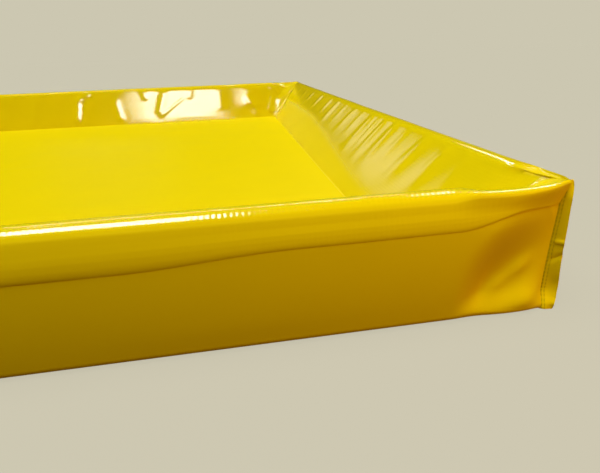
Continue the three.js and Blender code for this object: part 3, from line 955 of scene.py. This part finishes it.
def build_gusset(tray, name, sign_x, sign_y):
    """The patch over an inner corner: it follows both covers' slopes."""
    lines = []
    front, side = tray.walls[0], tray.walls[1]
    for t in np.linspace(PATCH_TOP, PATCH_END, 40):
        c, v, z = slope_points(tray, front, t)
        a = np.stack([tray.skirt_x - c, tray.skirt_y - v, z], axis=-1)
        c, v, z = slope_points(tray, side, t)
        b = np.stack([tray.skirt_x - v, tray.skirt_y - c, z], axis=-1)
        lines.append(np.concatenate([a[:0:-1], [(a[0] + b[0]) / 2], b[1:]]))
    grid = np.array(lines)
    for _ in range(3):
        grid[:, 1:-1] = (grid[:, :-2] + grid[:, 1:-1] + grid[:, 2:]) / 3
    normals = grid_normals(grid)
    upwards = np.sign(normals[len(grid) // 2, grid.shape[1] // 2][2])
    lift = upwards * (tray.sheet + 2 * GAP + PATCH_LIFT)
    grid = (grid + normals * lift) * np.array([sign_x, sign_y, 1])
    return bent_sheet(f"corner_patch_{name}", grid, tray.sheet)


# Materials

FABRIC_GLOSS = 0.4
LINER_GLOSS = 0.012
MATT_GLOSS = 0.02
MATT_ROUGHNESS = 0.35


def rgba(colour, share=1):
    return (*[share * x for x in colour], 1)


class Graph:
    """The nodes of a material or of the world. An input takes a value or another node's output."""

    def __init__(self, owner, kind):
        owner.use_nodes = True
        self.nodes, self.links = owner.node_tree.nodes, owner.node_tree.links
        self.nodes.clear()
        self.surface = self.nodes.new(f"ShaderNodeOutput{kind}").inputs["Surface"]

    def put(self, socket, value):
        if isinstance(value, bpy.types.NodeSocket):
            self.links.new(value, socket)
        else:
            socket.default_value = value

    def add(self, kind, inputs=None, **settings):
        """The outputs of a new node, which gets its settings before its inputs."""
        node = self.nodes.new(f"ShaderNode{kind}")
        for name, value in settings.items():
            setattr(node, name, value)
        for name, value in (inputs or {}).items():
            self.put(node.inputs[name], value)
        return node.outputs

    def math(self, operation, *values):
        node = self.nodes.new("ShaderNodeMath")
        node.operation = operation
        for socket, value in zip(node.inputs, values):
            self.put(socket, value)
        return node.outputs[0]

    def mix(self, share, a, b):
        """A mix of two colours."""
        return self.add("Mix", {"Factor": share, "A": a, "B": b}, data_type="RGBA")["Result"]

    def marked(self, name):
        """A value that mark() wrote on the mesh."""
        return self.add("Attribute", attribute_name=name)["Fac"]

    def show(self, first, second=None, share=None):
        """One shader on the surface, or two, the second with this share."""
        if second:
            mix = self.nodes.new("ShaderNodeMixShader")
            for socket, value in zip(mix.inputs, (share, first, second)):
                self.put(socket, value)
            first = mix.outputs[0]
        self.put(self.surface, first)


def fabric_material(name, look, weave_pitch, roughness, gloss):
    """Glossy coated fabric: where it is taut, the scrim's threads show as rows of fine dimples."""
    material = bpy.data.materials.new(name)
    graph = Graph(material, "Material")
    place = graph.add("TexCoord")
    cloud = graph.add("TexNoise", {"Vector": place["Object"], "Scale": 14, "Detail": 4})["Fac"]
    fine = graph.add("TexNoise", {"Vector": place["Object"], "Scale": 900, "Detail": 2})["Fac"]

    coating = graph.mix(cloud, rgba(look.fabric, 0.95), rgba(look.fabric))
    colour = graph.mix(graph.marked("stitch"), coating, rgba(look.thread))

    matt = graph.marked("matt")
    uneven = {"Value": cloud, "To Min": roughness - 0.03, "To Max": roughness + 0.04}
    rough = graph.add("MapRange", uneven)["Result"]
    rough = graph.math("ADD", rough, graph.math("MULTIPLY", matt, MATT_ROUGHNESS))
    shine = graph.math("MULTIPLY", graph.math("SUBTRACT", 1, matt), gloss - MATT_GLOSS)

    threads = graph.add("SeparateXYZ", {"Vector": place["UV"]})
    turn = 2 * math.pi / weave_pitch
    warp, weft = (graph.math("SINE", graph.math("MULTIPLY", threads[axis], turn)) for axis in "XY")
    scrim = graph.math("ADD", warp, graph.math("MULTIPLY", weft, 0.8))
    taut = graph.math("ADD", graph.math("MULTIPLY", graph.marked("taut"), 0.85), 0.15)
    dimples = {"Height": graph.math("MULTIPLY", scrim, taut), "Distance": look.weave_depth}
    skin = {"Height": fine, "Distance": 0.00004, "Strength": 0.35}
    skin["Normal"] = graph.add("Bump", dimples)["Normal"]
    coat = {
        "Base Color": colour,
        "Roughness": rough,
        "Specular IOR Level": graph.math("ADD", shine, MATT_GLOSS),
        "Normal": graph.add("Bump", skin)["Normal"],
    }
    graph.show(graph.add("BsdfPrincipled", coat)["BSDF"])
    return material


def foam_material(name, look):
    """Pale closed-cell foam."""
    material = bpy.data.materials.new(name)
    graph = Graph(material, "Material")
    place = graph.add("TexCoord")["Object"]
    cells = graph.add("TexVoronoi", {"Vector": place, "Scale": 800})["Distance"]
    foam = {
        "Base Color": graph.mix(cells, rgba(look.foam, 0.85), rgba(look.foam)),
        "Roughness": 0.9,
        "Normal": graph.add("Bump", {"Height": cells, "Distance": 0.0004})["Normal"],
    }
    graph.show(graph.add("BsdfPrincipled", foam)["BSDF"])
    return material


def shared_material(name, make, *details):
    """A material made once and used by several pieces."""
    return bpy.data.materials.get(name) or make(name, *details)


def dress(piece, tray, node, is_liner=False):
    """Coated fabric on a piece that stands for this solid."""
    look = tray.look
    if is_liner:
        name, roughness, gloss = "coated_fabric_liner", look.liner_roughness, LINER_GLOSS
    else:
        name, roughness, gloss = "coated_fabric_yellow", look.roughness, FABRIC_GLOSS
    details = (look, tray.weave_pitch, roughness, gloss)
    material = shared_material(name, fabric_material, *details)
    piece.data.materials.append(material)
    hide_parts(node)


# Settings


class SpillTraySizes(bpy.types.PropertyGroup):
    sheet: FloatProperty(
        name="Fabric thickness",
        description="Thickness of one ply of the coated fabric",
        default=0.0009,
        min=0.0003,
        precision=5,
        subtype="DISTANCE",
        unit="LENGTH",
    )
    foam_thickness: FloatProperty(
        name="Foam thickness",
        description="Thickness of a foam strip in the walls",
        default=0.019,
        min=0.005,
        subtype="DISTANCE",
        unit="LENGTH",
    )
    weave_pitch: FloatProperty(
        name="Scrim pitch",
        description="Distance between the threads that show through the coating",
        default=0.0036,
        min=0.0005,
        precision=5,
        subtype="DISTANCE",
        unit="LENGTH",
    )
    slack: FloatProperty(
        name="Slack",
        description="How strongly the inner sides fold, as a share of the photographed folds",
        default=1.0,
        min=0.0,
        max=2.0,
        subtype="FACTOR",
    )


COLOUR_RANGE = {"min": 0.0, "max": 1.0, "size": 3}


class SpillTrayLook(bpy.types.PropertyGroup):
    fabric: FloatVectorProperty(
        name="Fabric colour",
        description="Colour of the coated fabric",
        default=(0.86, 0.68, 0.001),
        subtype="COLOR",
        **COLOUR_RANGE,
    )
    thread: FloatVectorProperty(
        name="Thread colour",
        description="Colour of the stitches in the corner seams",
        default=(0.16, 0.11, 0.004),
        subtype="COLOR",
        **COLOUR_RANGE,
    )
    floor_paint: FloatVectorProperty(
        name="Floor paint",
        description="Colour of the floor for the light that it sends back to the tray",
        default=(0.03, 0.015, 0.004),
        subtype="COLOR",
        **COLOUR_RANGE,
    )
    foam: FloatVectorProperty(
        name="Foam colour",
        description="Colour of the foam strips",
        default=(0.8, 0.78, 0.71),
        subtype="COLOR",
        **COLOUR_RANGE,
    )
    backdrop: FloatVectorProperty(
        name="Backdrop colour",
        description="Colour of the floor and the backdrop",
        default=(0.604, 0.571, 0.440),
        subtype="COLOR",
        **COLOUR_RANGE,
    )
    roughness: FloatProperty(
        name="Roughness",
        description="Roughness of the coating's gloss",
        default=0.07,
        min=0.0,
        max=1.0,
        subtype="FACTOR",
    )
    liner_roughness: FloatProperty(
        name="Liner roughness",
        description="Roughness of the floor liner's gloss",
        default=0.45,
        min=0.0,
        max=1.0,
        subtype="FACTOR",
    )
    weave_depth: FloatProperty(
        name="Scrim depth",
        description="Depth of the dimples that the scrim leaves in taut fabric",
        default=0.00005,
        min=0.0,
        precision=6,
        subtype="DISTANCE",
        unit="LENGTH",
    )


def tray_of(context):
    return Tray(context.scene.spill_tray_sizes, context.scene.spill_tray_look)


# Operators


class SPILLTRAY_OT_flat_sheets(bpy.types.Operator):
    """Make the base sheet and the floor liner"""

    bl_idname = "spill_tray.flat_sheets"
    bl_label = "Base Sheet and Floor Liner"

    def execute(self, context):
        tray = tray_of(context)
        base = build_flat_sheet(tray, "base_fabric", "base_sheet", BASE_CORNER_RADIUS, level)
        dress(base, tray, "base_sheet")
        liner = build_flat_sheet(
            tray, "liner_fabric", "floor_liner", LINER_CORNER_RADIUS, liner_waves
        )
        dress(liner, tray, "floor_liner", is_liner=True)
        return {"FINISHED"}


class SPILLTRAY_OT_foam(bpy.types.Operator):
    """Make the foam strips inside the walls"""

    bl_idname = "spill_tray.foam"
    bl_label = "Foam Strips"

    def execute(self, context):
        tray = tray_of(context)
        for wall in tray.walls:
            piece = build_foam(tray, wall)
            material = shared_material("closed_cell_foam", foam_material, tray.look)
            piece.data.materials.append(material)
            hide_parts(f"foam_{wall.name}")
        return {"FINISHED"}


class SPILLTRAY_OT_skirts(bpy.types.Operator):
    """Make the outer skirts"""

    bl_idname = "spill_tray.skirts"
    bl_label = "Skirts"

    def execute(self, context):
        tray = tray_of(context)
        for wall in tray.walls:
            dress(build_skirt(tray, wall), tray, f"skirt_{wall.name}")
        return {"FINISHED"}


class SPILLTRAY_OT_covers(bpy.types.Operator):
    """Make the covers that run over the foam and down to the floor"""

    bl_idname = "spill_tray.covers"
    bl_label = "Covers"

    def execute(self, context):
        tray = tray_of(context)
        for wall in tray.walls:
            dress(build_cover(tray, wall), tray, f"cover_{wall.name}")
        return {"FINISHED"}


class SPILLTRAY_OT_corners(bpy.types.Operator):
    """Make the seam flanges and the inner corner patches"""

    bl_idname = "spill_tray.corners"
    bl_label = "Corners"

    def execute(self, context):
        tray = tray_of(context)
        for name, (sign_x, sign_y) in CORNERS.items():
            dress(build_flange(tray, name, sign_x, sign_y), tray, f"seam_flange_{name}")
            dress(build_gusset(tray, name, sign_x, sign_y), tray, f"corner_gusset_{name}")
        return {"FINISHED"}


class SPILLTRAY_OT_stage(bpy.types.Operator):
    """Make the floor, the lights, the world and the camera"""

    bl_idname = "spill_tray.stage"
    bl_label = "Stage"

    def execute(self, context):
        look = context.scene.spill_tray_look
        context.scene.view_settings.view_transform = "Standard"
        make_floor(look)
        make_world(look)
        make_lights()
        make_camera()
        return {"FINISHED"}


# Stage

FLOOR_HALF = 30
FLOOR_GLOW = 0.91
ROOM_COLOUR = (0.012, 0.011, 0.008)
ROOM_EDGE = (3, 1)  # degrees above the horizon at which the dim room gives way to the backdrop
SUN_ENERGY = 3.2
SUN_WIDTH = 50
DAYLIGHT = (1, 0.985, 0.95)
WARM = (1, 0.45, 0.1)


def make_floor(look):
    """A pale floor that keeps the tray's shadow, and looks darker to the light it sends back."""
    corners = [(x * FLOOR_HALF, y * FLOOR_HALF, 0) for x, y in ((-1, -1), (1, -1), (1, 1), (-1, 1))]
    mesh = bpy.data.meshes.new("studio_floor")
    mesh.from_pydata(corners, [], [(0, 1, 2, 3)])
    floor = new_object("studio_floor", mesh)
    material = bpy.data.materials.new("studio_floor_paint")
    graph = Graph(material, "Material")
    path = graph.add("LightPath")
    seen = graph.math("MAXIMUM", path["Is Camera Ray"], path["Is Glossy Ray"])
    seen = graph.math("MAXIMUM", seen, path["Is Transmission Ray"])
    colour = graph.mix(seen, rgba(look.floor_paint), rgba(look.backdrop))
    paint = graph.add("BsdfDiffuse", {"Color": colour})[0]
    glow = graph.add("Emission", {"Color": rgba(look.backdrop)})[0]
    graph.show(paint, glow, graph.math("MULTIPLY", seen, FLOOR_GLOW))
    mesh.materials.append(material)


def make_world(look):
    """A pale backdrop round the tray, with a dim room above it."""
    world = bpy.data.worlds.new("studio")
    bpy.context.scene.world = world
    graph = Graph(world, "World")
    height = graph.add("SeparateXYZ", {"Vector": graph.add("TexCoord")["Generated"]})["Z"]
    upper, lower = (math.sin(math.radians(angle)) for angle in ROOM_EDGE)
    edge = {"Value": height, "From Min": upper, "From Max": lower}
    low = graph.add("MapRange", edge, interpolation_type="SMOOTHSTEP")["Result"]
    share = graph.math("MAXIMUM", graph.add("LightPath")["Is Camera Ray"], low)
    room = graph.add("Background", {"Color": rgba(ROOM_COLOUR)})[0]
    backdrop = graph.add("Background", {"Color": rgba(look.backdrop)})[0]
    graph.show(room, backdrop, share)


def place_light(name, lamp, location, target, lights_surfaces, shows_in_gloss):
    light = new_object(name, lamp)
    light.location = location
    light.visible_camera = False
    light.visible_diffuse = lights_surfaces
    light.visible_glossy = shows_in_gloss
    direction = Vector(target) - Vector(location)
    light.rotation_euler = direction.to_track_quat("-Z", "Y").to_euler()


# name, location, target, width and height, radiance, colour, whether it lights surfaces
CARDS = (
    ("window_card", (0.09, -0.62, 0.80), (0.23, 0.575, 0.05), (0.5, 0.42), 23, DAYLIGHT, False),
    ("pale_panel", (-0.714, 3.37, 1.05), (0.55, -0.3, 0.05), (0.91, 0.54), 1, DAYLIGHT, False),
    ("left_strip", (-0.03, 0.73, 1.5), (0.32, -0.6, 0.1), (1.5, 0.11), 24, DAYLIGHT, False),
    ("right_strip", (1.0, 1.3, 1.5), (0.43, -0.6, 0.1), (0.5, 0.2), 24, DAYLIGHT, False),
    ("corner_strip", (1.57, 0.05, 1.5), (0.53, -0.6, 0.1), (0.7, 0.2), 24, DAYLIGHT, False),
    ("warm_card", (0.95, -1.15, 0.32), (0.55, -0.6, 0.05), (0.35, 0.35), 6.6, WARM, True),
)


def make_lights():
    """A broad light from above, cards that show only in gloss and a warm one at the right."""
    lamp = bpy.data.lights.new("overhead_light", "SUN")
    lamp.energy = SUN_ENERGY
    lamp.angle = math.radians(SUN_WIDTH)
    place_light("overhead_light", lamp, (-0.6, -0.34, 2.3), (0, 0, 0), True, False)
    for name, location, target, size, radiance, colour, lights_surfaces in CARDS:
        lamp = bpy.data.lights.new(name, "AREA")
        lamp.shape = "RECTANGLE"
        lamp.size, lamp.size_y = size
        # An area lamp's radiance is its power over pi times its area.
        lamp.energy = radiance * math.pi * size[0] * size[1]
        lamp.color = colour
        place_light(name, lamp, location, target, lights_surfaces, not lights_surfaces)


# The photograph's width and focal length in pixels, and the camera's yaw, pitch, roll and place
PHOTO_WIDTH = 600
FOCAL_LENGTH = 429.744
CAMERA_TURN = (8.868, 23.264, -1.979)
CAMERA_PLACE = (0.3659, -0.8517, 0.1895)


def make_camera():
    """The photograph's viewpoint: close above the front edge, near the right corner."""
    data = bpy.data.cameras.new("photo_camera")
    data.sensor_fit = "HORIZONTAL"
    data.sensor_width = 36
    data.lens = data.sensor_width * FOCAL_LENGTH / PHOTO_WIDTH
    camera = new_object("photo_camera", data)
    yaw, pitch, roll = (math.radians(angle) for angle in CAMERA_TURN)
    turn = Matrix.Rotation(-yaw, 4, "Z") @ Matrix.Rotation(math.pi / 2 - pitch, 4, "X")
    camera.matrix_world = Matrix.Translation(CAMERA_PLACE) @ turn @ Matrix.Rotation(roll, 4, "Z")
    bpy.context.scene.camera = camera


class SPILLTRAY_PT_panel(bpy.types.Panel):
    """Sizes, colours and steps of the spill tray"""

    bl_idname = "SPILLTRAY_PT_panel"
    bl_label = "Spill Tray"
    bl_space_type = "VIEW_3D"
    bl_region_type = "UI"
    bl_category = "Spill Tray"

    def draw(self, context):
        layout = self.layout
        for group in (context.scene.spill_tray_sizes, context.scene.spill_tray_look):
            column = layout.column(align=True)
            for name in group.__annotations__:
                column.prop(group, name)
        for step in STEPS:
            layout.operator(step.bl_idname)


STEPS = (
    SPILLTRAY_OT_flat_sheets,
    SPILLTRAY_OT_foam,
    SPILLTRAY_OT_skirts,
    SPILLTRAY_OT_covers,
    SPILLTRAY_OT_corners,
    SPILLTRAY_OT_stage,
)
CLASSES = (SpillTraySizes, SpillTrayLook, *STEPS, SPILLTRAY_PT_panel)


def register():
    for cls in CLASSES:
        bpy.utils.register_class(cls)
    bpy.types.Scene.spill_tray_sizes = PointerProperty(type=SpillTraySizes)
    bpy.types.Scene.spill_tray_look = PointerProperty(type=SpillTrayLook)


def unregister():
    del bpy.types.Scene.spill_tray_look
    del bpy.types.Scene.spill_tray_sizes
    for cls in reversed(CLASSES):
        bpy.utils.unregister_class(cls)


def main():
    register()
    for step in STEPS:
        area, name = step.bl_idname.split(".")
        getattr(getattr(bpy.ops, area), name)()


if __name__ == "__main__":
    main()
